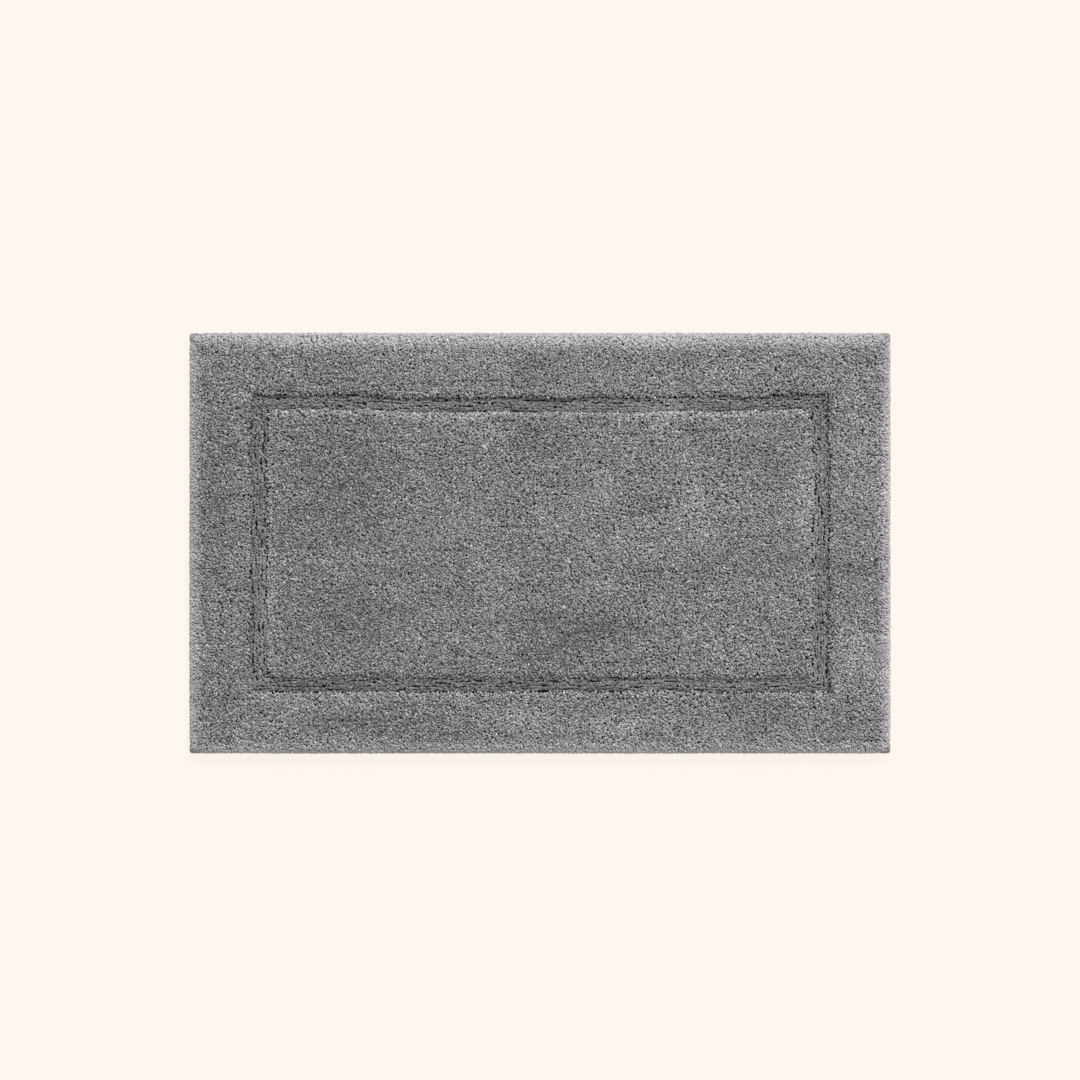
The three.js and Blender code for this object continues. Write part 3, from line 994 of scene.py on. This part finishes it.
def texture(tree, kind, output, **inputs):
    """The output of a texture in the object's own space."""
    place = tree.nodes.new("ShaderNodeTexCoord")
    node = tree.nodes.new(f"ShaderNodeTex{kind}")
    set_inputs(node, **inputs)
    tree.links.new(place.outputs["Object"], node.inputs["Vector"])
    return node.outputs[output]


def fleck(tree, scale, detail=3):
    """Noise for fibres and uneven dye."""
    return texture(tree, "Noise", "Fac", Scale=scale, Detail=detail)


def maths(tree, operation, *values):
    """The output of a Math node fed by sockets or numbers."""
    node = tree.nodes.new("ShaderNodeMath")
    node.operation = operation
    for socket, value in zip(node.inputs, values):
        if isinstance(value, (int, float)):
            socket.default_value = value
        else:
            tree.links.new(value, socket)
    return node.outputs[0]


def colour_by(tree, shader, tone, stops):
    """Gives the surface its colour from a tone, by stops of tone and colour."""
    ramp = tree.nodes.new("ShaderNodeValToRGB")
    elements = ramp.color_ramp.elements
    while len(elements) < len(stops):
        elements.new(0.5)
    for element, (position, colour) in zip(elements, stops):
        element.position = position
        element.color = (*colour, 1)
    tree.links.new(tone, ramp.inputs["Fac"])
    tree.links.new(ramp.outputs["Color"], shader.inputs["Base Color"])


def relief_by(tree, shader, height, strength, distance):
    """Gives the surface relief from a height, 0 to 1."""
    bump = tree.nodes.new("ShaderNodeBump")
    set_inputs(bump, Strength=strength, Distance=distance)
    tree.links.new(height, bump.inputs["Height"])
    tree.links.new(bump.outputs["Normal"], shader.inputs["Normal"])


def pile_material(name, dark, light, lightest):
    """Cut cotton: each ply has its own tone, which carries painted light and shade, its fibres show as fine
    noise, and its root is painted darker, as shade among the yarns.
    """
    material, tree, shader = new_material(name)
    fibres = fleck(tree, 900)
    fibre_tone, painted_root_shade, middle = 0.5, -0.18, 0.55
    tone = maths(tree, "MULTIPLY_ADD", fibres, fibre_tone, attribute(tree, "yarn_tone"))
    # painted shade towards the root
    tone = maths(tree, "MULTIPLY_ADD", attribute(tree, "yarn_depth"), painted_root_shade, tone)
    tone = maths(tree, "MULTIPLY", tone, middle)
    colour_by(tree, shader, tone, [(0.0, dark), (middle, light), (1.0, lightest)])
    set_inputs(shader, Roughness=0.95, Specular_IOR_Level=0.15, Sheen_Weight=0.45, Sheen_Roughness=0.5)
    relief_by(tree, shader, fibres, 0.6, 0.35 * MM)
    return material


def weave_height(tree, pitch, repeat, under, turn):
    """How high the threads stand, 0 to 1. Each thread passes over and under in a repeat of that many,
    and the twill line turns back after so many threads."""
    split = tree.nodes.new("ShaderNodeSeparateXYZ")
    tree.links.new(attribute(tree, "cloth_place", "Vector"), split.inputs[0])
    calc = partial(maths, tree)
    x, y = (calc("MULTIPLY", split.outputs[k], 1 / pitch) for k in (0, 1))
    hump_x, hump_y = (calc("ABSOLUTE", calc("SINE", calc("MULTIPLY", value, math.pi))) for value in (x, y))
    back_and_forth = calc("PINGPONG", calc("FLOOR", y), turn)
    step = calc("ADD", calc("FLOOR", x), calc("FLOOR", back_and_forth))
    is_over = calc("LESS_THAN", calc("FLOORED_MODULO", step, repeat), under)
    warp = calc("MULTIPLY", hump_x, calc("MULTIPLY_ADD", hump_y, 0.35, 0.65))
    weft = calc("MULTIPLY", hump_y, calc("MULTIPLY_ADD", hump_x, 0.35, 0.65))
    over = calc("MULTIPLY", warp, is_over)
    return calc("MULTIPLY_ADD", weft, calc("SUBTRACT", 1.0, is_over), over)


def woven_material(name, dark, light, pitch, repeat=2, under=1, turn=1000, relief=0.16 * MM):
    """Cloth: its threads cross, and where they lie lower they are painted darker, as shade between them; its
    fibres show as fine noise and its dye is a little patchy.
    """
    material, tree, shader = new_material(name)
    height = weave_height(tree, pitch, repeat, under, turn)
    fibres = fleck(tree, 2600)
    patches = fleck(tree, 60, 2)
    # threads that lie lower are painted darker, as shade
    tone = maths(tree, "MULTIPLY_ADD", height, 0.55, maths(tree, "MULTIPLY", fibres, 0.35))
    tone = maths(tree, "MULTIPLY_ADD", patches, 0.25, maths(tree, "SUBTRACT", tone, 0.06))
    colour_by(tree, shader, tone, [(0.0, dark), (1.0, light)])
    tree.links.new(maths(tree, "MULTIPLY_ADD", fibres, 0.2, 0.72), shader.inputs["Roughness"])
    set_inputs(shader, Specular_IOR_Level=0.25, Sheen_Weight=0.3)
    relief_by(tree, shader, height, 0.8, relief)
    return material


def thread_material(name, dark, light):
    """Sewing thread, flecked by its fibres."""
    material, tree, shader = new_material(name)
    fibres = fleck(tree, 3500, 2)
    colour_by(tree, shader, fibres, [(0.25, dark), (0.75, light)])
    set_inputs(shader, Roughness=0.6, Sheen_Weight=0.25)
    relief_by(tree, shader, fibres, 0.7, 0.1 * MM)
    return material


def latex_material():
    """Matt, slightly yellowed latex foam with fine pores, which are painted darker as shade, deeper in
    colour in its valleys.
    """
    material, tree, shader = new_material("natural_latex")
    cloudy = fleck(tree, 25, 4)
    pores = texture(tree, "Voronoi", "Distance", Scale=1300)
    # the pores are painted darker, as shade in them
    tone = maths(tree, "MULTIPLY_ADD", cloudy, 0.6, maths(tree, "MULTIPLY", pores, 0.25))
    tone = maths(tree, "MULTIPLY_ADD", attribute(tree, "valley"), -0.45, tone)
    stops = [(0.0, (0.50, 0.45, 0.36)), (0.45, (0.66, 0.62, 0.54)), (1.0, (0.76, 0.73, 0.66))]
    colour_by(tree, shader, tone, stops)
    tree.links.new(maths(tree, "MULTIPLY_ADD", cloudy, 0.3, 0.42), shader.inputs["Roughness"])
    relief_by(tree, shader, pores, 0.6, 0.12 * MM)
    return material


# ------------ build

def build_pile():
    plies, low = all_plies()
    _, _, inset = inset_of(plies.x, plies.y)
    pile = pile_material(
        "grey_cotton_pile", (0.072, 0.071, 0.078), (0.300, 0.297, 0.322), (0.585, 0.585, 0.58)
    )
    short = pile_material(
        "grey_cotton_short_pile", (0.075, 0.071, 0.071), (0.301, 0.2925, 0.3105), (0.48, 0.47, 0.485)
    )
    inside = ~low & (inset > 0.5 * (CHANNEL_INNER + CHANNEL_OUTER))
    add_pile("centre_yarns", some_of(plies, inside), "pile", pile, "centre_pile")
    for side, (_, here) in by_side(plies.x, plies.y).items():
        channel = some_of(plies, low & here)
        add_pile(f"channel_yarns_{side}", channel, "channel_pile", short, f"channel_pile_{side}")
        border = some_of(plies, ~low & ~inside & here)
        add_pile(f"border_yarns_{side}", border, "pile", pile, f"border_pile_{side}")


def build_underside():
    """Everything below the pile: the latex coat, hem tapes and stitches, corner folds, canvas and label."""
    canvas = woven_material("cotton_canvas", (0.10, 0.098, 0.10), (0.33, 0.325, 0.335), 0.9 * MM)
    twill = woven_material(
        "herringbone_twill", (0.12, 0.118, 0.12), (0.36, 0.355, 0.365), 0.55 * MM, repeat=4, under=2, turn=9
    )
    folded = woven_material("folded_hem_cloth", (0.135, 0.138, 0.132), (0.365, 0.371, 0.355), 0.6 * MM)
    satin = woven_material(
        "blank_satin", (0.46, 0.45, 0.43), (0.74, 0.73, 0.70), 0.35 * MM, repeat=5, under=1, relief=0.05 * MM
    )
    thread = thread_material("grey_sewing_thread", (0.24, 0.238, 0.245), (0.50, 0.495, 0.51))
    coat = add_latex_coat(latex_material())
    tapes = [add_hem_tape(side, turn, twill) for turn, side in enumerate(SIDES)]
    stitches = [add_stitches(row, thread) for row in ("outer", "inner")]
    folds = [add_corner_fold(corner, folded) for corner in CORNERS]
    canvas_sheet = add_backing_cloth(canvas)
    label = add_care_label(satin)


# The studio: the floor, the world's light, the sun, and the camera with what it shows of the floor
FLOOR_RADIUS, FLOOR_BEND, FLOOR_WALL = 5.6, 1.4, 1.7
FLOOR_BELOW = 0.2 * MM
FLOOR_COLOUR, FLOOR_GLOW, GLOW_STRENGTH = (0.060, 0.057, 0.052, 1), (1.0, 0.940, 0.876, 1), 0.908
SKY_COLOUR, SKY_STRENGTH = (1.0, 0.945, 0.88, 1), 0.62
SUN_ENERGY, SUN_SPREAD = 3.9, math.radians(25)
SUN_TURN = (-math.radians(52), 0, -math.radians(20))
LENS, SENSOR = 150, 36
SHOWN_WIDTH, SHOWN_MIDDLE = 1.543, 0.0046


def add_floor():
    """A round studio floor that turns up into a low wall all round, so no horizon shows."""
    sides = 96
    turns = np.linspace(0, math.pi / 2, 13)[1:]
    profile = [(FLOOR_RADIUS, 0.0)]
    profile += [(FLOOR_RADIUS + FLOOR_BEND * math.sin(t), FLOOR_BEND * (1 - math.cos(t))) for t in turns]
    profile.append((FLOOR_RADIUS + FLOOR_BEND, FLOOR_WALL))
    points = [np.zeros((1, 3))]
    for out, up in profile:
        ways = circle(sides)
        points.append(np.column_stack([out * np.cos(ways), out * np.sin(ways), np.full(sides, up)]))
    vertices = np.concatenate(points) - (0, 0, FLOOR_BELOW)
    return new_mesh("floor", vertices, np.array(dome_faces(len(profile), sides)))


def build_studio():
    scene = bpy.context.scene
    floor = add_floor()
    material, _, shader = new_material("studio_floor")
    set_inputs(shader, Base_Color=FLOOR_COLOUR, Roughness=1.0, Specular_IOR_Level=0.0)
    set_inputs(shader, Emission_Color=FLOOR_GLOW, Emission_Strength=GLOW_STRENGTH)
    floor.data.materials.append(material)

    world = bpy.data.worlds.new("studio")
    scene.world = world
    world.use_nodes = True
    set_inputs(world.node_tree.nodes["Background"], Color=SKY_COLOUR, Strength=SKY_STRENGTH)

    sun = bpy.data.lights.new("key", "SUN")
    sun.energy = SUN_ENERGY
    sun.angle = SUN_SPREAD
    add_object("key", sun).rotation_euler = SUN_TURN

    camera = bpy.data.cameras.new("camera")
    camera.lens = LENS
    camera.sensor_width = SENSOR
    camera.clip_end = 50
    scene.camera = add_object("camera", camera)
    scene.camera.location = (0, SHOWN_MIDDLE, LENS / SENSOR * SHOWN_WIDTH)
    scene.view_settings.view_transform = "Standard"


build_pile()
build_underside()
build_studio()
